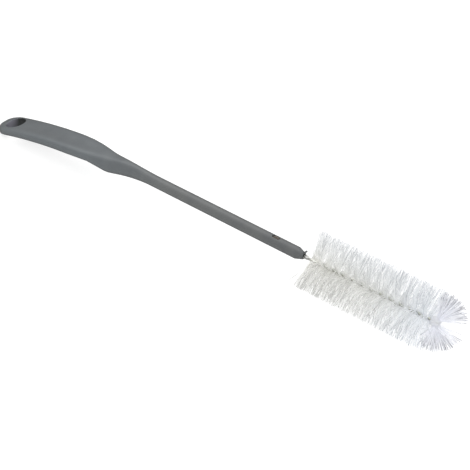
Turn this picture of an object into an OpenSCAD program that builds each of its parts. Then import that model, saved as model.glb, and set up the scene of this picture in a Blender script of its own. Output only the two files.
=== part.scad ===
// Bottle brush: a moulded handle, a twisted wire core and a nylon brush head with a round end.
// It lies as it comes to rest. The stem is level along +X, the grip's end and the bristles touch
// the plane z = 0, and the origin is the middle of the brush on that plane.

/* [Handle] */
// Length of the handle, from the end of the grip to the mouth that the wire comes out of
handle_l = 308; // [280:1:340]
// Length of the grip, as far as the round stem
grip_l = 159; // [140:1:180]
// Width of the grip
grip_w = 24; // [21:0.5:27]
// Thickness of the grip at its end
grip_t = 8; // [7:0.1:9.5]
// Extra depth of the finger rest under the front of the grip
finger_rest = 5.0; // [1:0.1:7]
// Depth of the shallow dish along the grip's top
dish_depth = 0.7; // [0.2:0.1:1]
// Step from the stem's top down to the grip's top
shoulder_step = 0.8; // [0.4:0.1:1.6]
// Diameter of the stem
stem_d = 9; // [8:0.5:11]

/* [Hang hole] */
// Diameter of the hang hole
hole_d = 16.5; // [10:0.5:17]
// Distance from the end of the grip to the middle of the hang hole
hole_x = 15; // [14:0.5:22]
// Chamfer round both rims of the hang hole
hole_chamfer = 0.5; // [0.2:0.1:0.8]

/* [Tip of the handle] */
// Length of the cone at the end of the stem
cone_l = 6.2; // [4:0.1:9]
// Diameter of the mouth that the wire comes out of
mouth_d = 4.8; // [4.4:0.1:6]
// Distance from the mouth to the middle of the window in the stem
window_back = 25; // [20:0.5:28]
// Length of the window
window_l = 7; // [5:0.5:9]
// Width of the window
window_w = 2.8; // [2:0.1:3.2]

/* [Wire] */
// Diameter of the wire
wire_d = 1.3; // [1.1:0.05:1.4]
// Length of one full turn of the twisted wire
twist_pitch = 15.6; // [12:0.4:20]
// Length of twisted wire that is held inside the handle
tail_l = 34; // [30:0.5:40]
// Bare wire between the mouth and the first bristles
neck_l = 6; // [4:0.5:12]

/* [Bristles] */
// Diameter of the brush head
head_d = 45; // [40:0.5:52]
// Length of wire that carries the side bristles
brush_l = 99; // [80:1:120]
// Thickness of one filament, which stands for a few real ones
filament_t = 0.45; // [0.35:0.05:0.5]
// How far the side bristles fan out to each side of the row that they leave the wire in, in degrees
side_fan = 78; // [40:1:80]

/* [Hidden] */

// Clearances
seat_gap = 0.06;    // between the filaments and the strands that pinch them
socket_gap = 0.08;  // round the twisted wire in the handle
loop_gap = 0.1;     // between the tuft's waist and the wire's end loop

// Places along the brush, from the end of the grip
mouth_x = handle_l;
cone_x = handle_l - cone_l;
window_x = handle_l - window_back;
brush_x0 = handle_l + neck_l;
brush_x1 = brush_x0 + brush_l;
wire_x0 = handle_l - tail_l;
eye_run = 4;                       // over this length the strands part into the end loop
eye_x = brush_x1 + eye_run;        // middle of the end loop
strand_r = filament_t / 2 + seat_gap + wire_d / 2;  // from the brush's axis to a strand's middle
socket_r = strand_r + wire_d / 2 + socket_gap;
axis_z = head_d / 2;               // height of the stem's axis

// Colours
handle_grey = [0.44, 0.45, 0.46];
wire_grey = [0.62, 0.62, 0.60];
nylon_white = [0.92, 0.93, 0.94];

// ---- small helpers ----

function clamp01(v) = min(1, max(0, v));
function smooth(v) = let (c = clamp01(v)) c * c * (3 - 2 * c);
function mix(a, b, f) = a + (b - a) * f;
function frac(v) = v - floor(v);
function sgn_pow(v, p) = sign(v) * pow(abs(v), p);
function unit(v) = v / norm(v);
function mean3(a, b, c) = (a + b + c) / 3;
// Unit vector across the brush: 0 degrees is +Y and 90 is +Z
function across(angle) = [0, cos(angle), sin(angle)];

// Triangles of a tube through rings of n points, closed at both ends by its first and last ring.
// Rings turn clockwise as seen from the far end.
function tube_faces(rings, n) = concat(
    [for (i = [0 : rings - 2], j = [0 : n - 1]) let (a = i * n + j, b = i * n + (j + 1) % n)
        each [[a, b + n, a + n], [a, b, b + n]]],
    [for (j = [1 : n - 2]) [0, j + 1, j]],
    [for (j = [1 : n - 2]) let (k = (rings - 1) * n) [k, k + j, k + j + 1]]
);

// ---- handle ----

ring_n = 32;           // points round the handle's section
end_r = grip_w / 2;    // plan radius of the grip's end
edge_r = 3.2;          // rounding of the grip's end in side view
belly_x = grip_l - 37; // deepest point of the finger rest
belly_rise = 18;       // its length on the side of the grip
belly_fall = 38;       // its length on the side of the stem
belly_round = 0.08;    // rounding of its deepest point
swell = 1.2;           // the stem's top is this much higher where it leaves the grip
swell_x = grip_l - 14;
swell_half = 26;
droop_x = grip_l - 34; // the grip's top starts to droop here
droop_power = 1.9;

// Share of the way from the stem towards the grip's end, past the start of the droop
function droop_share(x) = max(0, droop_x - x) / (droop_x - edge_r);
// The droop brings the grip's end down to the plane z = 0
grip_drop = axis_z + stem_d / 2 - shoulder_step - grip_t;

function top_z(x) = axis_z + stem_d / 2 + neck_swell(x)
    - shoulder_step * smooth((grip_l - 18 - x) / 24)
    - grip_drop * pow(droop_share(x), droop_power);
function top_slope(x) = atan(grip_drop * droop_power
    * pow(droop_share(x), droop_power - 1) / (droop_x - edge_r));
function grip_blend(x) = smooth((grip_l - 8 - x) / 68);
function body_w(x) = mix(stem_d, grip_w, grip_blend(x));
function belly(x) = let (
    u = x < belly_x ? (belly_x - x) / belly_rise : (x - belly_x) / belly_fall,
    v = sqrt(u * u + belly_round * belly_round) - belly_round
) v < 1 ? finger_rest * pow(1 - v, 1.15) : 0;
function neck_swell(x) = abs(x - swell_x) < swell_half
    ? swell * pow(cos(90 * (x - swell_x) / swell_half), 2) : 0;
function body_t(x) = mix(grip_t, stem_d, clamp01(x / grip_l)) + neck_swell(x) + belly(x);

// The grip's end is a half circle in plan, with rounded upper and lower edges
function plan_w(x) = x < end_r
    ? body_w(x) * sqrt(1 - pow(1 - x / end_r, 2)) : body_w(x);
function end_t(x) = x < edge_r
    ? body_t(x) * max(0.1, sqrt(1 - pow(1 - x / edge_r, 2))) : body_t(x);

// Exponent of the section: 2 is round, and more is closer to a rounded rectangle
function section_power(x) = mix(2, 3.6, smooth((grip_l - x) / 50));
function dish(x, y) = let (reach = 0.40 * body_w(x))
    dish_depth * smooth((x - hole_x - 8) / 14) * smooth((grip_l - 40 - x) / 20)
    * (abs(y) < reach ? pow(1 - pow(y / reach, 2), 2) : 0);

function handle_ring(x) = let (
    w = plan_w(x), t = end_t(x), p = 2 / section_power(x),
    mid_z = top_z(x) - body_t(x) / 2
) [for (j = [0 : ring_n - 1]) let (
    a = -360 * j / ring_n,
    y = w / 2 * sgn_pow(cos(a), p),
    z = t / 2 * sgn_pow(sin(a), p)
) [x, y, mid_z + z - (z > 0 ? dish(x, y) : 0)]];

function round_ring(x, d) = [for (j = [0 : ring_n - 1]) let (a = -360 * j / ring_n)
    [x, d / 2 * cos(a), axis_z + d / 2 * sin(a)]];

end_angles = [6, 18, 32, 46, 60, 75];
grip_stops = concat(
    [for (a = end_angles) end_r * (1 - cos(a))],
    [for (i = [0 : 9]) mix(end_r, belly_x - belly_rise, i / 9)],
    [for (i = [1 : 16]) mix(belly_x - belly_rise, grip_l + 8, i / 16)]
);

module handle_skin() {
    rings = concat(
        [for (x = grip_stops) handle_ring(x)],
        [round_ring(cone_x, stem_d), round_ring(mouth_x, mouth_d)]
    );
    polyhedron(points = [for (r = rings) each r], faces = tube_faces(len(rings), ring_n));
}

// The bore stands square to the grip's top, with a chamfer round each rim
module hang_hole() {
    reach = 10;
    tilt = top_slope(hole_x);
    deep = body_t(hole_x) * cos(tilt);
    translate([hole_x, 0, top_z(hole_x)]) rotate([0, -tilt, 0]) {
        translate([0, 0, -deep - reach])
            cylinder(d = hole_d, h = deep + 2 * reach, $fn = 64);
        translate([0, 0, -hole_chamfer])
            cylinder(r1 = hole_d / 2, r2 = hole_d / 2 + reach, h = reach, $fn = 64);
        translate([0, 0, hole_chamfer - deep - reach])
            cylinder(r1 = hole_d / 2 + reach, r2 = hole_d / 2, h = reach, $fn = 64);
    }
}

module wire_socket() {
    depth = tail_l + 0.5;
    over = 1;
    translate([mouth_x - depth, 0, axis_z]) rotate([0, 90, 0])
        cylinder(r = socket_r, h = depth + over, $fn = 48);
}

// A slot from the top of the stem down to the wire
module stem_window() {
    up = stem_d;
    straight = window_l - window_w;
    translate([window_x, 0, axis_z]) {
        translate([-straight / 2, -window_w / 2, 0]) cube([straight, window_w, up]);
        for (side = [-1, 1])
            translate([side * straight / 2, 0, 0]) cylinder(d = window_w, h = up, $fn = 32);
    }
}

// The tag left where the moulding was broken from its runner, on top of the mouth
module mouth_spur() {
    spur_l = 4.8;
    spur_lean = 40;
    translate([mouth_x - 0.9, 0, axis_z + socket_r + 0.25]) rotate([0, spur_lean, 0])
        cylinder(r1 = 0.8, r2 = 0.55, h = spur_l, $fn = 24);
}

module handle() {
    color(handle_grey) difference() {
        union() {
            handle_skin();
            mouth_spur();
        }
        hang_hole();
        wire_socket();
        stem_window();
    }
}

// ---- wire ----

eye_r = 2.1;           // from the middle of the end loop to the wire's middle
eye_angle = 45;        // the tuft goes through the loop in this direction across the brush
wire_n = 6;            // sides of the wire
turn_rings = 12;       // rings in one turn of a strand
twist_l = brush_x1 - wire_x0;
twist_rings = ceil(turn_rings * twist_l / twist_pitch);

slack_l = 6;           // over this length of the brush's rear end the wire is hardly twisted
slack_turn = 0.15;     // its share of the full twist there
neck_turn = 0.6;       // and behind the bristles
slack_x = brush_x0 + slack_l;

// Direction across the brush of the row of filaments at x
function row_angle(x) = let (
    front = max(0, brush_x1 - max(x, slack_x)),
    slack = slack_turn * min(slack_l, max(0, slack_x - x)),
    neck = neck_turn * max(0, brush_x0 - x)
) eye_angle - 360 * (front + slack + neck) / twist_pitch;
function pitch_at(x) = twist_pitch / (x < brush_x0 ? neck_turn : x < slack_x ? slack_turn : 1);

// One strand from the handle to the end of the twist: [middle, outward direction, run]
function strand_stop(x, side) = let (
    a = row_angle(x) + 90 * side,
    out = across(a),
    run = unit([pitch_at(x), 0, 0] + 2 * PI * strand_r * across(a + 90))
) [[x, 0, axis_z] + strand_r * out, out, run];

// The end loop lies square to the tuft's direction: parted strands, then a half circle
function eye_stop(s) = let (
    side = s < 0 ? -1 : 1,
    wide = across(eye_angle + 90 * side),
    u = (1.5 - abs(s)) * 2,                      // 0 at the twist, 1 at the half circle
    offset = mix(strand_r, eye_r, smooth(u)),
    x = mix(brush_x1, eye_x, u),
    turn = (1 - abs(s)) * 90                     // past the parted strands
) abs(s) > 1
    ? [[x, 0, axis_z] + offset * wide, wide, [1, 0, 0]]
    : let (out = [sin(turn), 0, 0] + cos(turn) * wide)
      [[eye_x, 0, axis_z] + eye_r * out, out, [cos(turn), 0, 0] - sin(turn) * wide];

function flip(stop) = [stop[0], stop[1], -stop[2]];
wire_stops = concat(
    [for (i = [0 : twist_rings]) strand_stop(mix(wire_x0, brush_x1, i / twist_rings), 1)],
    [for (s = [1.375, 1.25, 1.125]) eye_stop(s)],
    [for (i = [0 : 8]) let (s = 1 - i / 4) s >= 0 ? eye_stop(s) : flip(eye_stop(s))],
    [for (s = [-1.125, -1.25, -1.375]) flip(eye_stop(s))],
    [for (i = [twist_rings : -1 : 0]) flip(strand_stop(mix(wire_x0, brush_x1, i / twist_rings), -1))]
);

module core_wire() {
    rings = [for (stop = wire_stops) let (side = cross(stop[2], stop[1]))
        each [for (j = [0 : wire_n - 1]) let (a = 30 - 360 * j / wire_n)
            stop[0] + wire_d / 2 * (cos(a) * stop[1] + sin(a) * side)]];
    color(wire_grey)
        polyhedron(points = rings, faces = tube_faces(len(wire_stops), wire_n));
}

// ---- bristles ----

// A filament grows from one triangle of the brush's core. tip is where its end lies, and its end
// is the same triangle, made smaller. It takes the triangle's place in the core's surface.
function grown_points(tri, tip, keep) = let (mid = mean3(tri[0], tri[1], tri[2]))
    [for (p = tri) tip + keep * (p - mid)];
function grown_faces(f, k) = [
    [f[0], f[1], k + 1], [f[0], k + 1, k],
    [f[1], f[2], k + 2], [f[1], k + 2, k + 1],
    [f[2], f[0], k], [f[2], k, k + 2],
    [k, k + 1, k + 2]
];

rows = 240;              // steps along the packed row of filaments
row_half = 1.7;          // half the width of the packed row, across the brush
tip_keep = 0.75;         // size of a filament's end against its root
trim_spread = 0.8;       // how unevenly the ends are trimmed
golden = 0.61803399;
least_fan = 8;           // filaments part by at least this many degrees from the row
fan_steps = [0.618, 0.755, 0.570, 0.819];   // spread each kind of filament evenly, in no visible order

// A filament stands square to the wire, inside its own step of the row, so none meets another.
// The slack end of the row keeps its filaments in a narrow fan.
function fan(i, kind) = let (
    open = max(0.26, clamp01(brush_l * (i + 0.5) / rows / slack_l))
) mix(least_fan, side_fan * open, frac(fan_steps[kind] * (i + 1)));

function row_corner(i, c) = let (
    x = mix(brush_x0, brush_x1, i / rows), a = row_angle(x),
    along = (c == 0 || c == 1) ? row_half : -row_half,
    thick = (c == 1 || c == 2) ? filament_t / 2 : -filament_t / 2
) [x, 0, axis_z] + along * across(a) + thick * across(a + 90);

row_points = [for (i = [0 : rows], c = [0 : 3]) row_corner(i, c)];

// The four filaments of step i: kind 0 and 1 on one edge of the row, 2 and 3 on the other
function side_tip(i, kind) = let (
    x = mix(brush_x0, brush_x1, (i + 0.5) / rows),
    a = row_angle(x) + (kind > 1 ? 180 : 0) + (kind % 2 == 0 ? 1 : -1) * fan(i, kind),
    r = (head_d - filament_t) / 2 - trim_spread * frac(golden * (4 * i + kind))
) [x, 0, axis_z] + r * across(a);

function side_root(i, kind) = let (
    a = 4 * i + (kind > 1 ? 2 : 0), b = a + 1, c = a + 4, d = b + 4
) kind % 2 == 0 ? [a, d, b] : [a, c, d];

module side_bristles() {
    kinds = [for (i = [0 : rows - 1], kind = [0 : 3]) [i, kind]];
    base = len(row_points);
    tips = [for (q = kinds) let (f = side_root(q[0], q[1]))
        each grown_points([for (v = f) row_points[v]], side_tip(q[0], q[1]), tip_keep)];
    flats = [for (i = [0 : rows - 1], c = [1, 3]) let (a = 4 * i + c, b = 4 * i + (c + 1) % 4)
        each [[a, b + 4, b], [a, a + 4, b + 4]]];
    walls = [for (n = [0 : len(kinds) - 1])
        each grown_faces(side_root(kinds[n][0], kinds[n][1]), base + 3 * n)];
    last = 4 * rows;
    ends = [[0, 1, 2], [0, 2, 3], [last, last + 2, last + 1], [last, last + 3, last + 2]];
    color(nylon_white) polyhedron(points = concat(row_points, tips), faces = concat(flats, walls, ends));
}

// ---- tuft ----

tuft_n = 26;             // points round the tuft's bound core
waist_r = eye_r - wire_d / 2 - loop_gap;
waist_half = wire_d / 2 + loop_gap;
lobe_r = 2.4;            // each side of the loop the bundle swells to this
// [distance from the loop's plane, radius] of the bound core, from one side to the other
lobe = [[waist_half, waist_r], [waist_half + 0.3, lobe_r - 0.4], [waist_half + 0.9, lobe_r],
        [waist_half + 1.7, lobe_r - 0.3], [waist_half + 2.4, lobe_r - 1.0], [waist_half + 2.8, 0.6]];
core_profile = concat([for (i = [5 : -1 : 0]) [-lobe[i][0], lobe[i][1]]], lobe);
eye_mid = [eye_x, 0, axis_z];
tuft_keep = 0.5;         // size of a filament's end against its root
tuft_pull = 0.45;        // less than 1 draws the filaments forward, over the loop

function tuft_point(i, j) = let (p = core_profile[i], a = 360 * j / tuft_n)
    eye_mid + p[0] * across(eye_angle)
    + p[1] * ([cos(a), 0, 0] + sin(a) * across(eye_angle + 90));

tuft_points = [for (i = [0 : len(core_profile) - 1], j = [0 : tuft_n - 1]) tuft_point(i, j)];
tuft_faces = tube_faces(len(core_profile), tuft_n);

// A filament grows where the core faces forward, on either side of the loop
function tuft_mid(f) = mean3(tuft_points[f[0]], tuft_points[f[1]], tuft_points[f[2]]) - eye_mid;
function tuft_dir(f) = let (m = tuft_mid(f), through = across(eye_angle))
    unit(m - (1 - tuft_pull) * (m * through) * through);
function tuft_out(f) = unit(cross(tuft_points[f[2]] - tuft_points[f[0]],
                                  tuft_points[f[1]] - tuft_points[f[0]]));
function tuft_grows(f) = let (d = tuft_dir(f)) d[0] > 0.06 && d * tuft_out(f) > 0.35
    && abs(tuft_mid(f) * across(eye_angle)) > waist_half;

tuft_roots = [for (f = tuft_faces) if (tuft_grows(f)) f];
tuft_ends = [for (n = [0 : len(tuft_roots) - 1]) let (
    r = (head_d - filament_t) / 2 - trim_spread * frac(golden * n)
) eye_mid + r * tuft_dir(tuft_roots[n])];

module tip_tuft() {
    plain = [for (f = tuft_faces) if (!tuft_grows(f)) f];
    base = len(tuft_points);
    tips = [for (n = [0 : len(tuft_roots) - 1])
        each grown_points([for (v = tuft_roots[n]) tuft_points[v]], tuft_ends[n], tuft_keep)];
    walls = [for (n = [0 : len(tuft_roots) - 1]) each grown_faces(tuft_roots[n], base + 3 * n)];
    color(nylon_white) polyhedron(points = concat(tuft_points, tips), faces = concat(plain, walls));
}

// ---- the brush ----

// The brush runs from its first ring to the end of the tuft's foremost filament
middle_x = (grip_stops[0] + max([for (p = tuft_ends) p[0]])) / 2;

module placed() {
    translate([-middle_x, 0, 0]) children();
}

placed() handle();
placed() core_wire();
placed() side_bristles();
placed() tip_tuft();
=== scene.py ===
"""Looks of the bottle brush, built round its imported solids: grey moulding, twisted wire and nylon."""
import math

import bpy
import numpy as np
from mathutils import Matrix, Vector


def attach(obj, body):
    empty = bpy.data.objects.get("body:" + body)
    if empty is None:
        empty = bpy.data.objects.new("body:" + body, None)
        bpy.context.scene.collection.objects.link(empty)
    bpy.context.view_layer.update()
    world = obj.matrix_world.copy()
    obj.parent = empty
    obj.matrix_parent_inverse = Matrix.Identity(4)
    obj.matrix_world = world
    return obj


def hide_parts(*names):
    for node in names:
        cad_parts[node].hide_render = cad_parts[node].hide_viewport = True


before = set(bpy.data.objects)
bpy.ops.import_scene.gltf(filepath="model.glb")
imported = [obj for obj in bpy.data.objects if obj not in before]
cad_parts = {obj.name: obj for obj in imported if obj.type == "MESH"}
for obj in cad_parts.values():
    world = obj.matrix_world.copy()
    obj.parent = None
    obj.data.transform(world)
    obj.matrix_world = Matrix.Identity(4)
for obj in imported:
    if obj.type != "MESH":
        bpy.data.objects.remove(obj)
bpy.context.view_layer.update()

MM = 0.001
RNG = np.random.default_rng(11)

# ---- sizes and places shared with the solids, in mm in the row frame ----
MIDDLE_X = 219.113            # from the end of the grip to the origin
AXIS_Z = 22.5
BRUSH_X0 = 314 - MIDDLE_X
BRUSH_X1 = 413 - MIDDLE_X
BRUSH_L = BRUSH_X1 - BRUSH_X0
EYE_X = 417 - MIDDLE_X
WIRE_X0 = 274 - MIDDLE_X
HEAD_R = 22.4
PITCH = 15.6
SLACK = 6.0                   # over this length of the brush's rear end the wire is hardly twisted
SLACK_TURN = 0.15
NECK_TURN = 0.6
EYE_ANGLE = math.radians(45)
FACING_ANGLE = EYE_ANGLE + math.pi / 2      # square to the wire, towards the camera
WIRE_D = 1.3
STRAND_R = 0.935              # from the axis to the middle of a strand
EYE_R = 2.1
WIRE_STEP, WIRE_SIDES = 0.5, 16
STEM_R = 4.5
HOLE = (-203.1, 0, 7.4)       # the middle of the hang hole
HOLE_AXIS = (-0.251, 0, 0.968)
HOLE_R = 8.25
WINDOW = (283 - MIDDLE_X, 0, AXIS_Z)

# ---- colours: the dull and the bright tone of each surface ----
GRIP_GREYS = (0.099, 0.112, 0.122, 1), (0.134, 0.148, 0.156, 1)
STEM_GREYS = (0.090, 0.097, 0.104, 1), (0.137, 0.142, 0.140, 1)
TIP_GREYS = (0.080, 0.086, 0.093, 1), (0.120, 0.124, 0.124, 1)
# painted shade, mixed in where the handle turns away from the camera
RIM_PAINTED_SHADE = (0.03, 0.03, 0.03, 1)
# painted light and painted shade on the hang hole's wall, pale at its end and dark ahead
BORE_PAINTED_LIGHT = (0.23, 0.225, 0.265, 1)
BORE_PAINTED_SHADE = (0.03, 0.033, 0.032, 1)
# painted light: a pale brown that lifts the window's walls out of their shade
WINDOW_PAINTED_LIGHT = (0.42, 0.38, 0.34, 1)
BARE_WIRE = (0.25, 0.25, 0.235, 1), (0.42, 0.42, 0.40, 1)
# painted light: the wire among the bristles is painted lighter against the shade that they throw on it
WIRE_PAINTED_LIGHT = (0.40, 0.405, 0.37, 1), (0.60, 0.605, 0.555, 1)
# the side nylon's tones, warm in painted shade and cool in painted light
WARM_NYLON = (0.60, 0.595, 0.57, 1), (0.95, 0.945, 0.92, 1)
COOL_NYLON = (0.61, 0.63, 0.66, 1), (0.96, 0.975, 0.995, 1)
TUFT_NYLON = (0.34, 0.34, 0.37, 1), (0.97, 0.975, 1.0, 1)

# ---- where the handle's colours change, in mm ----
GRIP_TO_STEM = -110, -30
STEM_TO_TIP = -10, 80
# where the hang hole's painted light turns to painted shade
BORE_FADE = HOLE[0] - 9, HOLE[0] - 5
BORE_REACH = HOLE_R + 0.1     # takes in the hole's wall
WINDOW_REACH = STEM_R - 0.15  # takes in the window's walls and leaves the stem's skin

# ---- shares of light and colour ----
# Painted shade at the handle's silhouette: where a face turns away from the camera its colour darkens and its
# gloss fades
RIM_FADE, RIM_SHARE = (0.4, 0.85), 0.75     # how far a face turns away while it darkens, and how much
HANDLE_GLOSS = 0.36
NYLON_THROUGH, NYLON_SHADOW = 0.5, 0.1      # the light that it passes on, and the shadow that it throws
WORLD_LIGHT, WORLD_SEEN = 0.95, 1.0         # how it lights things, and how it shows
FLOOR_LIGHT, FLOOR_SEEN = (0.8, 0.8, 0.8, 1), (0.4, 0.4, 0.4, 1)
FLOOR_GLOW = 0.75                           # only where it shows

# ---- side bristles: how many, how they fan and how far they stray, in mm and radians ----
CLUMPS, IN_CLUMP = 1900, 2
FILAMENT_STEPS = 5
WIDTHS = 0.24, 0.33
GOLDEN = 0.618034             # steps of this share spread the angles evenly
FAN_MAX = math.radians(81)
SPREAD_MIN = 0.26             # the share of the fan at the rear face, where the row hardly turns
ROW_R = 0.8                   # where a filament leaves the row between the strands
ROW_BEND, FAN_BEND = 2.4, 4.0               # it sets out along the row and turns into the fan
FRONT_LEAN, FRONT_L = math.radians(9), 7    # those in the last stretch lean over the tuft
CAMERA_LEAN = math.radians(13)              # those that point at the camera lean ahead,
CAMERA_LEAN_L, CAMERA_LEAN_MIN = 8, 0.2     # fully from here on, and by this share at the rear face
TRIM, TRIM_STRAY = 0.15, 0.45               # how far short of the head's radius they end
CLUMP_FAN, CLUMP_LEAN, CLUMP_BOW = 0.06, math.radians(4), 0.5
ROW_STRAY, TIP_STRAY, LEAN_STRAY = 0.45, math.radians(1.6), math.radians(3.4)

# ---- their tones, from 0 for dull to 1 for bright ----
TONE_STRAY = 0.25
# Painted shade along the top and painted light underneath, growing towards the front of the brush
TOP_PAINTED_SHADE, LOW_PAINTED_LIGHT = 0.2, 0.2         # at the front of the brush
ROOT_TONE_MIN = 0.22
TIP_TONE = 0.7                # the share of its tone that a filament keeps at its tip
# painted shade at the tips, underneath and along the top towards the front
LOW_TIPS_PAINTED_SHADE, TOP_TIPS_PAINTED_SHADE = 0.2, 0.15
# Painted light and shade, cool where light falls and warm in the shade round the wire: how cool they are,
# at shares of the brush's length, round the wire, along the top and underneath
COOL_ROOT = (0, 0.6, 0.75, 0.9), (0.05, 0.3, 0.5, 0.85)
COOL_TOP = (0, 0.5, 1), (0.8, 0.95, 1.0)
COOL_LOW = (0, 0.5, 0.65, 0.9), (0.2, 0.35, 0.65, 1.0)

# ---- tuft ----
TUFT_CLUMPS, IN_TUFT = 440, 2
STRAYS = 14                   # single filaments that point ahead, between the two bundles
UPPER_START, LOWER_START = 20, 12           # degrees: each bundle keeps clear of straight ahead
BUNDLE_END = math.radians(100)
SWING, SWING_MAX = math.radians(26), 1.2    # how far the bundles spread to the camera and away
STRAY_ANGLES = -5, 12         # degrees off straight ahead
STRAY_SWING = 0.3
TUFT_STRAY = math.radians(0.7)
HEARTS, STRAY_HEART = (0.9, 2.6), 0.3       # from the loop's middle to where a filament sets out
ROOT_OUT, ROOT_STRAY = 1.5, 0.5
TUFT_OFFSET = 1.2             # the fan's centre lies this far towards the upper bundle
TUFT_TRIM, TUFT_TRIM_STRAY = 1.7, 1.0       # how far short of the head's radius they end,
TUFT_FRONT = 0.5                            # less this straight ahead
TUFT_BOW = 0.15
TUFT_WIDTHS = 0.22, 0.32
TUFT_TONES = -0.4, 1.4        # cut to 0 and 1, so that many filaments are fully dull or bright
TUFT_TONE_STRAY = 0.1
# Painted light and shade: the roots are painted bright where the bundle is bound, the tips duller, and the
# lower bundle's tips off to the side paler
TUFT_ROOT_MIN, TUFT_ROOT_SPAN = 0.5, 0.45   # the least tone of a root, and how far the roots vary
TUFT_TIP_TONE = 0.65          # the share of its tone that a filament keeps at its tip
LOWER_PAINTED_LIGHT = 0.06            # added at the tips of the lower bundle, off to the side
# The bound bundle swells on either side of the loop: offsets along it, and radii there
LOBES = ((-3.9, 0.05), (-3.7, 0.9), (-3.2, 1.7), (-2.5, 2.6), (-1.7, 3.1), (-0.9, 3.2), (-0.3, 3.0),
         (0, 2.85),
         (0.3, 3.0), (0.9, 3.2), (1.7, 3.2), (2.5, 2.8), (3.2, 1.9), (3.7, 1.0), (3.9, 0.05))
LOBE_SIDES = 32
KNOT_BACK, KNOT_STRETCH = 0.6, 1.2
KNOT_TONES = 0.75, 1.2


def row_angle(x):
    """The way that the row between the strands faces at x. The wire's twist carries it round."""
    x = np.asarray(x, float)
    front = np.maximum(0, BRUSH_X1 - np.maximum(x, BRUSH_X0 + SLACK))
    slack = SLACK_TURN * np.clip(BRUSH_X0 + SLACK - x, 0, SLACK)
    neck = NECK_TURN * np.maximum(0, BRUSH_X0 - x)
    return EYE_ANGLE - 2 * math.pi * (front + slack + neck) / PITCH


def across(a):
    """Unit vectors square to the wire's axis, at the angles a."""
    a = np.asarray(a, float)
    return np.stack([np.zeros_like(a), np.cos(a), np.sin(a)], -1)


def on_axis(x):
    return np.stack([x, 0 * x, 0 * x + AXIS_Z], -1)


EYE = np.array([EYE_X, 0, AXIS_Z])
AHEAD = np.array([1.0, 0, 0])
THROUGH = across(EYE_ANGLE)                 # the way that the tuft's bundle runs through the loop
WIDE = across(FACING_ANGLE)                 # the way that the loop's strands part


# ---- meshes ----

def mesh_object(name, verts, quads, tris=()):
    me = bpy.data.meshes.new(name)
    quads = np.asarray(quads, np.int32).reshape(-1, 4)
    tris = np.asarray(tris, np.int32).reshape(-1, 3)
    me.vertices.add(len(verts))
    me.vertices.foreach_set("co", np.asarray(verts, np.float32).ravel() * MM)
    loops = np.concatenate([quads.ravel(), tris.ravel()])
    me.loops.add(len(loops))
    me.loops.foreach_set("vertex_index", loops)
    starts = np.concatenate([np.arange(len(quads)) * 4, len(quads) * 4 + np.arange(len(tris)) * 3])
    me.polygons.add(len(starts))
    me.polygons.foreach_set("loop_start", starts.astype(np.int32))
    me.polygons.foreach_set("use_smooth", np.ones(len(starts), bool))
    me.update(calc_edges=True)
    me.validate()
    ob = bpy.data.objects.new(name, me)
    bpy.context.scene.collection.objects.link(ob)
    return ob


def set_attribute(ob, name, values):
    layer = ob.data.attributes.new(name, "FLOAT", "POINT")
    layer.data.foreach_set("value", values.astype(np.float32))


def tubes(paths, radii, sides):
    """Vertices, quads and end triangles of one round tube along each path.

    paths is (n, k, 3) and radii (n, k).
    """
    n, k, _ = paths.shape
    run = np.gradient(paths, axis=1)
    run /= np.linalg.norm(run, axis=2, keepdims=True)
    # Any direction that the path doesn't take
    ref = np.where(np.abs(run[:, :1, 2:3]) < 0.8, [[[0.0, 0.0, 1.0]]], [[[0.0, 1.0, 0.0]]])
    u = np.cross(run, np.broadcast_to(ref, run.shape))
    u /= np.linalg.norm(u, axis=2, keepdims=True)
    v = np.cross(run, u)
    a = 2 * math.pi * np.arange(sides) / sides
    ring = u[:, :, None] * np.cos(a)[:, None] + v[:, :, None] * np.sin(a)[:, None]
    verts = paths[:, :, None] + ring * radii[:, :, None, None]
    base = (np.arange(n) * k * sides)[:, None, None] + (np.arange(k - 1) * sides)[None, :, None]
    j = np.arange(sides)
    onward = base + sides
    quads = np.stack([base + j, onward + j, onward + (j + 1) % sides, base + (j + 1) % sides], -1)
    first = np.arange(n) * k * sides
    last = first + (k - 1) * sides
    tris = [np.stack([first, first + i, first + i + 1], -1) for i in range(1, sides - 1)]
    tris += [np.stack([last, last + i + 1, last + i], -1) for i in range(1, sides - 1)]
    return verts.reshape(-1, 3), quads.reshape(-1, 4), np.concatenate(tris)


def filaments(name, root, bend, tip, width, shades):
    """One mesh of fine filaments, each a flat strip that leaves its root towards bend and curves to its tip.

    The strips face every way. shades holds each attribute that the material reads, at root and tip.
    """
    n = len(root)
    rings = FILAMENT_STEPS + 1
    f = np.linspace(0, 1, rings)[None, :, None]
    paths = root[:, None] * (1 - f) ** 2 + bend[:, None] * 2 * f * (1 - f) + tip[:, None] * f ** 2
    face = np.cross(tip - root, RNG.normal(0, 1, (n, 3)))
    half_width = face / np.linalg.norm(face, axis=1, keepdims=True) * (width / 2)[:, None]
    verts = np.stack([paths - half_width[:, None], paths + half_width[:, None]], 2)
    base = (np.arange(n) * rings * 2)[:, None] + (np.arange(FILAMENT_STEPS) * 2)[None, :]
    quads = np.stack([base, base + 2, base + 3, base + 1], -1)
    ob = mesh_object(name, verts.reshape(-1, 3), quads)
    for key, (at_root, at_tip) in shades.items():
        values = at_root[:, None] + (at_tip - at_root)[:, None] * f[0, :, 0]
        set_attribute(ob, key, np.repeat(values.ravel(), 2))
    return ob


# ---- parts of materials ----

def material(name):
    m = bpy.data.materials.new(name)
    m.use_nodes = True
    return m, m.node_tree.nodes, m.node_tree.links, m.node_tree.nodes["Principled BSDF"]


def put_material(ob, m):
    ob.data.materials.clear()
    ob.data.materials.append(m)


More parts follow.
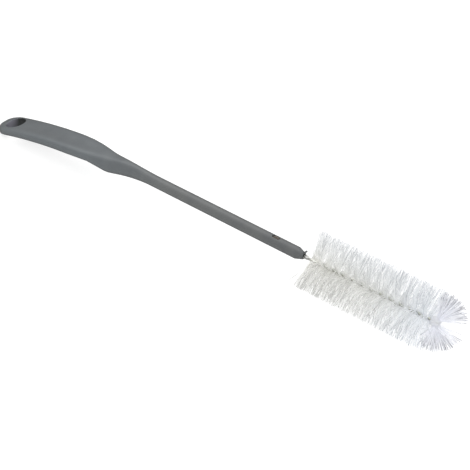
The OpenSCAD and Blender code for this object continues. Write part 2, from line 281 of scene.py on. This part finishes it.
def noise(nodes, links, scale, detail=2):
    """Cloudy noise in the object's own coordinates. scale is in clouds to the metre."""
    where = nodes.new("ShaderNodeTexCoord")
    cloud = nodes.new("ShaderNodeTexNoise")
    cloud.inputs["Scale"].default_value = scale
    cloud.inputs["Detail"].default_value = detail
    links.new(where.outputs["Object"], cloud.inputs["Vector"])
    return cloud.outputs["Fac"]


def mapped(nodes, links, value, to_min, to_max, from_min=0.0, from_max=1.0):
    span = nodes.new("ShaderNodeMapRange")
    span.inputs["From Min"].default_value = from_min
    span.inputs["From Max"].default_value = from_max
    span.inputs["To Min"].default_value = to_min
    span.inputs["To Max"].default_value = to_max
    links.new(value, span.inputs["Value"])
    return span.outputs["Result"]


def along_x(nodes, links, x0, x1):
    """0 behind x0 and 1 ahead of x1, both in mm in the row frame."""
    where = nodes.new("ShaderNodeTexCoord")
    part = nodes.new("ShaderNodeSeparateXYZ")
    links.new(where.outputs["Object"], part.inputs["Vector"])
    return mapped(nodes, links, part.outputs["X"], 0.0, 1.0, x0 * MM, x1 * MM)


def mixed(nodes, links, factor, a, b):
    mix = nodes.new("ShaderNodeMix")
    mix.data_type = "RGBA"
    links.new(factor, mix.inputs["Factor"])
    for socket, value in (("A", a), ("B", b)):
        if isinstance(value, tuple):
            mix.inputs[socket].default_value = value
        else:
            links.new(value, mix.inputs[socket])
    return mix.outputs["Result"]


def near(nodes, links, point, reach, axis=None):
    """1 up to reach from a point, or from the line through it along axis, and 0 beyond. Lengths are in mm."""
    where = nodes.new("ShaderNodeTexCoord")
    offset = nodes.new("ShaderNodeVectorMath")
    offset.operation = "SUBTRACT"
    offset.inputs[1].default_value = [v * MM for v in point]
    length = nodes.new("ShaderNodeVectorMath")
    length.operation = "LENGTH"
    inside = nodes.new("ShaderNodeMath")
    inside.operation = "LESS_THAN"
    inside.inputs[1].default_value = reach * MM
    links.new(where.outputs["Object"], offset.inputs[0])
    gap = offset.outputs["Vector"]
    if axis:
        turned = nodes.new("ShaderNodeVectorMath")
        turned.operation = "CROSS_PRODUCT"
        turned.inputs[1].default_value = axis
        links.new(gap, turned.inputs[0])
        gap = turned.outputs["Vector"]
    links.new(gap, length.inputs[0])
    links.new(length.outputs["Value"], inside.inputs[0])
    return inside.outputs["Value"]


def two_tones(nodes, links, factor, tones, place):
    """The dull tone at 0, and the bright tone from place on."""
    ramp = nodes.new("ShaderNodeValToRGB")
    dull, bright = ramp.color_ramp.elements
    dull.color = tones[0]
    bright.position = place
    bright.color = tones[1]
    links.new(factor, ramp.inputs["Fac"])
    return ramp.outputs["Color"]


def attribute(nodes, name):
    node = nodes.new("ShaderNodeAttribute")
    node.attribute_name = name
    return node.outputs["Fac"]


def seen_directly(nodes, links):
    """1 for the rays that show the background itself: straight, in a reflection or through glass."""
    ray = nodes.new("ShaderNodeLightPath")
    value = ray.outputs["Is Camera Ray"]
    for other in ("Is Glossy Ray", "Is Transmission Ray"):
        either = nodes.new("ShaderNodeMath")
        either.operation = "MAXIMUM"
        links.new(value, either.inputs[0])
        links.new(ray.outputs[other], either.inputs[1])
        value = either.outputs["Value"]
    return value


# ---- materials ----

def handle_plastic():
    """Satin grey, bluest at the grip and darkest at the tip, with painted shade where it turns away from the
    camera.
    """
    m, nodes, links, bsdf = material("moulded_plastic")
    bsdf.inputs["Roughness"].default_value = 0.52
    cloud = noise(nodes, links, 90, 5)
    grip, stem, tip = (two_tones(nodes, links, cloud, tones, 0.7)
                       for tones in (GRIP_GREYS, STEM_GREYS, TIP_GREYS))
    paint = mixed(nodes, links, along_x(nodes, links, *GRIP_TO_STEM), grip, stem)
    paint = mixed(nodes, links, along_x(nodes, links, *STEM_TO_TIP), paint, tip)
    # Painted shade: the colour darkens and the gloss fades where a face turns away from the camera
    turning = nodes.new("ShaderNodeLayerWeight")
    rim_shade = mapped(nodes, links, turning.outputs["Facing"], 0.0, RIM_SHARE, *RIM_FADE)
    paint = mixed(nodes, links, rim_shade, paint, RIM_PAINTED_SHADE)
    links.new(mapped(nodes, links, rim_shade, HANDLE_GLOSS, 0.0), bsdf.inputs["Specular IOR Level"])
    # Painted light and shade on the hang hole's wall: pale at its end and dark ahead
    painted_bore_light = mixed(nodes, links, along_x(nodes, links, *BORE_FADE), BORE_PAINTED_LIGHT, BORE_PAINTED_SHADE)
    paint = mixed(nodes, links, near(nodes, links, HOLE, BORE_REACH, HOLE_AXIS), paint, painted_bore_light)
    # Painted light: the window's walls, which lie in shade, are painted a pale brown
    paint = mixed(nodes, links, near(nodes, links, WINDOW, WINDOW_REACH), paint, WINDOW_PAINTED_LIGHT)
    links.new(paint, bsdf.inputs["Base Color"])
    grain = nodes.new("ShaderNodeBump")
    grain.inputs["Strength"].default_value = 0.12
    grain.inputs["Distance"].default_value = 0.1 * MM
    links.new(noise(nodes, links, 2600), grain.inputs["Height"])
    links.new(grain.outputs["Normal"], bsdf.inputs["Normal"])
    return m


def wire_steel():
    """Galvanised wire with painted light among the bristles, which shade it: lighter there than in the open
    neck.
    """
    m, nodes, links, bsdf = material("wire")
    bsdf.inputs["Metallic"].default_value = 1.0
    bsdf.inputs["Roughness"].default_value = 0.34
    cloud = noise(nodes, links, 900)
    bare = two_tones(nodes, links, cloud, BARE_WIRE, 1.0)
    painted_light = two_tones(nodes, links, cloud, WIRE_PAINTED_LIGHT, 1.0)
    # Painted light among the bristles, from just behind the brush on
    paint = mixed(nodes, links, along_x(nodes, links, BRUSH_X0 - 1, BRUSH_X0 + 1), bare, painted_light)
    links.new(paint, bsdf.inputs["Base Color"])
    return m


def nylon(name, warm, cool):
    """White filament that scatters light through itself, and throws only a thin shadow.

    warm and cool are its tones where the attribute "cool" is 0 and 1, and "tone" goes from dull to bright.
    """
    m, nodes, links, bsdf = material(name)
    bsdf.inputs["Roughness"].default_value = 0.3
    tone = attribute(nodes, "tone")
    paint = mixed(nodes, links, attribute(nodes, "cool"), two_tones(nodes, links, tone, warm, 0.4),
                  two_tones(nodes, links, tone, cool, 0.4))
    through = nodes.new("ShaderNodeBsdfTranslucent")
    body = nodes.new("ShaderNodeMixShader")
    body.inputs["Fac"].default_value = NYLON_THROUGH
    clear = nodes.new("ShaderNodeBsdfTransparent")
    whole = nodes.new("ShaderNodeMixShader")
    ray = nodes.new("ShaderNodeLightPath")
    links.new(mapped(nodes, links, ray.outputs["Is Shadow Ray"], 1.0, NYLON_SHADOW), whole.inputs["Fac"])
    links.new(paint, bsdf.inputs["Base Color"])
    links.new(paint, through.inputs["Color"])
    links.new(bsdf.outputs["BSDF"], body.inputs[1])
    links.new(through.outputs["BSDF"], body.inputs[2])
    links.new(clear.outputs["BSDF"], whole.inputs[1])
    links.new(body.outputs["Shader"], whole.inputs[2])
    links.new(whole.outputs["Shader"], nodes["Material Output"].inputs["Surface"])
    return m


def stage_material():
    """A matt floor that keeps the shadow, and glows to white where it is seen itself."""
    m, nodes, links, bsdf = material("stage_white")
    bsdf.inputs["Roughness"].default_value = 1.0
    bsdf.inputs["Specular IOR Level"].default_value = 0.0
    glow = nodes.new("ShaderNodeEmission")
    glow.inputs["Color"].default_value = (1, 1, 1, 1)
    seen = seen_directly(nodes, links)
    links.new(mapped(nodes, links, seen, 0.0, FLOOR_GLOW), glow.inputs["Strength"])
    links.new(mixed(nodes, links, seen, FLOOR_LIGHT, FLOOR_SEEN), bsdf.inputs["Base Color"])
    add = nodes.new("ShaderNodeAddShader")
    links.new(bsdf.outputs["BSDF"], add.inputs[0])
    links.new(glow.outputs["Emission"], add.inputs[1])
    links.new(add.outputs["Shader"], nodes["Material Output"].inputs["Surface"])
    return m


# ---- handle ----

def dress_handle():
    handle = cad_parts["handle"]
    put_material(handle, handle_plastic())
    handle.data.polygons.foreach_set("use_smooth", np.ones(len(handle.data.polygons), bool))
    weld = handle.modifiers.new("weld", "WELD")
    weld.merge_threshold = 0.02 * MM
    crisp = handle.modifiers.new("crisp_edges", "EDGE_SPLIT")
    crisp.split_angle = math.radians(38)
    even = handle.modifiers.new("even_shading", "WEIGHTED_NORMAL")
    even.weight = 100


# ---- wire ----

def wire_path():
    """Out along one strand, round the loop and back along the other."""
    x = np.arange(WIRE_X0, BRUSH_X1 + 0.01, WIRE_STEP)
    out, back = (on_axis(x) + STRAND_R * across(row_angle(x) + side * math.pi / 2) for side in (1, -1))
    u = np.linspace(0, 1, 9)[1:-1]
    parting = STRAND_R + (EYE_R - STRAND_R) * u * u * (3 - 2 * u)
    middle = on_axis(BRUSH_X1 + (EYE_X - BRUSH_X1) * u)
    offset = parting[:, None] * WIDE
    t = np.linspace(0, math.pi, 25)[:, None]
    loop = EYE + EYE_R * (np.sin(t) * AHEAD + np.cos(t) * WIDE)
    return np.concatenate([out, middle + offset, loop, (middle - offset)[::-1], back[::-1]])


def make_wire():
    path = wire_path()
    radii = np.full((1, len(path)), WIRE_D / 2)
    wire = mesh_object("wire_twist", *tubes(path[None], radii, WIRE_SIDES))
    put_material(wire, wire_steel())
    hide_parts("core_wire")
    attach(wire, "root")


# ---- side bristles ----

def side_shades(tone, along, height):
    """The tone and the coolness of each side filament, at its root and its tip, as painted light and shade.

    They are painted warmest round the wire at the rear, where shade falls, and coolest at the front and along
    the top, where light falls. Towards the front they are painted duller along the top and brighter
    underneath, and their tips are painted duller underneath and along the top. along is where a filament
    grows, from 0 at the rear to 1, and height is how far its tip lies above the wire in the picture, from -1
    to 1.
    """
    up, down = np.maximum(height, 0), np.maximum(-height, 0)
    # Painted colour of light and shade, by where a filament grows and where its tip points
    cool_root = np.interp(along, *COOL_ROOT)
    cool_top = np.interp(along, *COOL_TOP)
    cool_low = np.interp(along, *COOL_LOW)
    cool_tip = cool_root + up * (cool_top - cool_root) + down * (cool_low - cool_root)
    # Painted shade along the top and painted light underneath, towards the front
    tone = np.clip(tone - TOP_PAINTED_SHADE * up * along + LOW_PAINTED_LIGHT * down * along, 0, 1)
    tone_root = ROOT_TONE_MIN + (1 - ROOT_TONE_MIN) * tone
    # Painted shade at the tips underneath and along the top
    tone_tip = TIP_TONE * tone - LOW_TIPS_PAINTED_SHADE * down - TOP_TIPS_PAINTED_SHADE * up * along
    return {"tone": (tone_root, tone_tip), "cool": (cool_root, cool_tip)}


def make_side_bristles():
    # A clump's filaments share a place, a fan angle, a lean, a bow and a tone
    order = np.arange(CLUMPS)
    cx = BRUSH_X0 + BRUSH_L * (order + RNG.uniform(0, 1, CLUMPS)) / CLUMPS
    c_side = np.where(order % 2 == 0, 0.0, math.pi)
    spread = np.clip((cx - BRUSH_X0) / SLACK, SPREAD_MIN, 1.0)
    c_fan = (2 * ((order // 2 * GOLDEN) % 1) - 1) * FAN_MAX * spread + RNG.normal(0, CLUMP_FAN, CLUMPS)
    c_lean = RNG.normal(0, CLUMP_LEAN, CLUMPS)
    c_lean += FRONT_LEAN * np.clip((cx - BRUSH_X1 + FRONT_L) / FRONT_L, 0, 1)
    c_bow = RNG.normal(0, CLUMP_BOW, (CLUMPS, 3))
    c_tone = RNG.uniform(0, 1, CLUMPS)

    k = np.repeat(order, IN_CLUMP)
    n = len(k)
    row_x = cx[k] + RNG.normal(0, ROW_STRAY, n)
    a_row = row_angle(row_x) + c_side[k]
    a_tip = row_angle(cx[k]) + c_side[k] + c_fan[k] + RNG.normal(0, TIP_STRAY, n)
    lean = c_lean[k] + RNG.normal(0, LEAN_STRAY, n)
    # Those that point at the camera lean ahead, so that they lie along the others in the picture
    toward = np.maximum(0, np.cos(a_tip - FACING_ANGLE)) ** 2
    lean += CAMERA_LEAN * toward * np.clip((cx[k] - BRUSH_X0) / CAMERA_LEAN_L, CAMERA_LEAN_MIN, 1)
    axis = on_axis(row_x)
    root = axis + across(a_row) * ROW_R
    bend = axis + across(a_row) * ROW_BEND + across(a_tip) * FAN_BEND + c_bow[k]
    reach = HEAD_R - TRIM - np.abs(RNG.normal(0, TRIM_STRAY, n))
    tip = on_axis(cx[k]) + across(a_tip) * (reach * np.cos(lean))[:, None]
    tip[:, 0] += reach * np.sin(lean)
    width = RNG.uniform(*WIDTHS, n)
    tone = c_tone[k] + RNG.normal(0, TONE_STRAY, n)
    shades = side_shades(tone, (cx[k] - BRUSH_X0) / BRUSH_L, (tip - axis) @ THROUGH / HEAD_R)

    side_nylon = nylon("nylon", WARM_NYLON, COOL_NYLON)
    half = row_x < (BRUSH_X0 + BRUSH_X1) / 2
    for name, keep in (("side_bristles_rear", half), ("side_bristles_front", ~half)):
        own = {key: (at_root[keep], at_tip[keep]) for key, (at_root, at_tip) in shades.items()}
        ob = filaments(name, root[keep], bend[keep], tip[keep], width[keep], own)
        put_material(ob, side_nylon)
        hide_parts("side_bristles")
        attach(ob, "root")


# ---- tuft ----

def make_tuft(tuft_nylon):
    # Even clumps go to the upper bundle and odd ones to the lower, whose first few are the strays
    order = np.arange(TUFT_CLUMPS)
    sign = np.where(order % 2 == 0, 1.0, -1.0)
    start = np.radians(np.where(sign > 0, UPPER_START, LOWER_START))
    off_axis = start + (BUNDLE_END - start) * ((order // 2 * GOLDEN) % 1)
    swing = np.clip(RNG.normal(0, SWING, TUFT_CLUMPS), -SWING_MAX, SWING_MAX)
    alone = (order % 2 == 1) & (order < 2 * STRAYS)
    off_axis[alone] = np.radians(RNG.uniform(*STRAY_ANGLES, STRAYS))
    swing[alone] = RNG.normal(0, STRAY_SWING, STRAYS)

    k = np.repeat(order, np.where(alone, 1, IN_TUFT))
    n = len(k)
    t_off = off_axis[k] + RNG.normal(0, TUFT_STRAY, n)
    t_swing = swing[k] + RNG.normal(0, TUFT_STRAY, n)
    forward = np.cos(t_off) * np.cos(t_swing)
    sideways = np.sin(t_off) * np.cos(t_swing) * sign[k]
    d = forward[:, None] * AHEAD + sideways[:, None] * THROUGH + np.sin(t_swing)[:, None] * WIDE
    heart = sign[k] * np.where(alone[k], STRAY_HEART, RNG.uniform(*HEARTS, n))
    root = EYE + heart[:, None] * THROUGH + d * ROOT_OUT + RNG.normal(0, ROOT_STRAY, (n, 3))
    reach = HEAD_R - TUFT_TRIM + TUFT_FRONT * forward - np.abs(RNG.normal(0, TUFT_TRIM_STRAY, n))
    tip = EYE + TUFT_OFFSET * THROUGH + d * reach[:, None]
    bend = (root + tip) / 2 + RNG.normal(0, TUFT_BOW, (TUFT_CLUMPS, 3))[k]
    tone = np.clip(RNG.uniform(*TUFT_TONES, TUFT_CLUMPS)[k] + RNG.normal(0, TUFT_TONE_STRAY, n), 0, 1)
    # Painted light on the lower bundle's tips off to the side, and painted light at the roots with painted
    # shade at the tips
    painted_light_low = np.where(sign[k] < 0, LOWER_PAINTED_LIGHT * (1 - forward), 0)
    shades = {"tone": (TUFT_ROOT_MIN + TUFT_ROOT_SPAN * tone, TUFT_TIP_TONE * tone + painted_light_low),
              "cool": (tone, tone)}
    tuft = filaments("tip_tuft_filaments", root, bend, tip, RNG.uniform(*TUFT_WIDTHS, n), shades)
    put_material(tuft, tuft_nylon)
    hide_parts("tip_tuft")
    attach(tuft, "root")


def make_knot(tuft_nylon):
    """The bound bundle that the tuft's filaments grow from."""
    w, r = np.array(LOBES).T
    verts, quads, tris = tubes((EYE + w[:, None] * THROUGH)[None], r[None], LOBE_SIDES)
    verts[:, 0] = EYE_X - KNOT_BACK + KNOT_STRETCH * (verts[:, 0] - EYE_X)
    knot = mesh_object("tip_tuft_knot", verts, quads, tris)
    set_attribute(knot, "tone", np.tile(RNG.uniform(*KNOT_TONES, LOBE_SIDES), len(w)))
    put_material(knot, tuft_nylon)
    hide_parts("tip_tuft")
    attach(knot, "root")


# ---- floor, light and camera, in metres ----

def set_floor():
    reach = 6.0
    me = bpy.data.meshes.new("floor")
    corners = [(-reach, -reach, 0), (reach, -reach, 0), (reach, reach, 0), (-reach, reach, 0)]
    me.from_pydata(corners, [], [(0, 1, 2, 3)])
    floor = bpy.data.objects.new("floor", me)
    bpy.context.scene.collection.objects.link(floor)
    put_material(floor, stage_material())
    floor.location = (0, 0, -0.0002)        # just under what touches the ground


def set_world():
    world = bpy.data.worlds.new("studio")
    bpy.context.scene.world = world
    world.use_nodes = True
    nodes, links = world.node_tree.nodes, world.node_tree.links
    back = nodes["Background"]
    back.inputs["Color"].default_value = (1, 1, 1, 1)
    seen = seen_directly(nodes, links)
    links.new(mapped(nodes, links, seen, WORLD_LIGHT, WORLD_SEEN), back.inputs["Strength"])


def area(name, place, aim, size, power):
    lamp = bpy.data.lights.new(name, "AREA")
    lamp.shape = "DISK"
    lamp.size = size
    lamp.energy = power
    ob = bpy.data.objects.new(name, lamp)
    bpy.context.scene.collection.objects.link(ob)
    ob.location = place
    ob.rotation_euler = (Vector(aim) - Vector(place)).to_track_quat("-Z", "Y").to_euler()
    return ob


def set_lamps():
    area("key", (-0.05, 0.65, 1.32), (0, 0, 0), 1.0, 4)
    sheen = area("sheen", (-0.65, 0.25, 1.25), (0, 0, 0), 1.0, 9)        # only in the reflections
    sheen.visible_diffuse = False
    sheen.visible_transmission = False
    area("fill", (1.1, -0.45, 0.8), (0.05, 0, 0.02), 0.8, 2.2)


def set_camera():
    """One metre from its target, placed so that the handle and the wire fall on the photo's."""
    azimuth, elevation = math.radians(39.595), math.radians(38.0)
    aim_x, aim_below = 245.3 - MIDDLE_X, 12.398
    target = Vector((aim_x, 0, AXIS_Z - aim_below)) * MM
    level = math.cos(elevation)
    backward = Vector((math.sin(azimuth) * level, -math.cos(azimuth) * level, math.sin(elevation)))
    cam = bpy.data.cameras.new("camera")
    cam.lens = 105.45
    cam.sensor_width = 36
    ob = bpy.data.objects.new("camera", cam)
    bpy.context.scene.collection.objects.link(ob)
    ob.location = target + backward
    ob.rotation_euler = (-backward).to_track_quat("-Z", "Y").to_euler()
    bpy.context.scene.camera = ob


dress_handle()
make_wire()
make_side_bristles()
nylon_of_tuft = nylon("nylon_tuft", TUFT_NYLON, TUFT_NYLON)
make_tuft(nylon_of_tuft)
make_knot(nylon_of_tuft)
set_floor()
set_world()
set_lamps()
set_camera()
bpy.context.scene.view_settings.view_transform = "Standard"
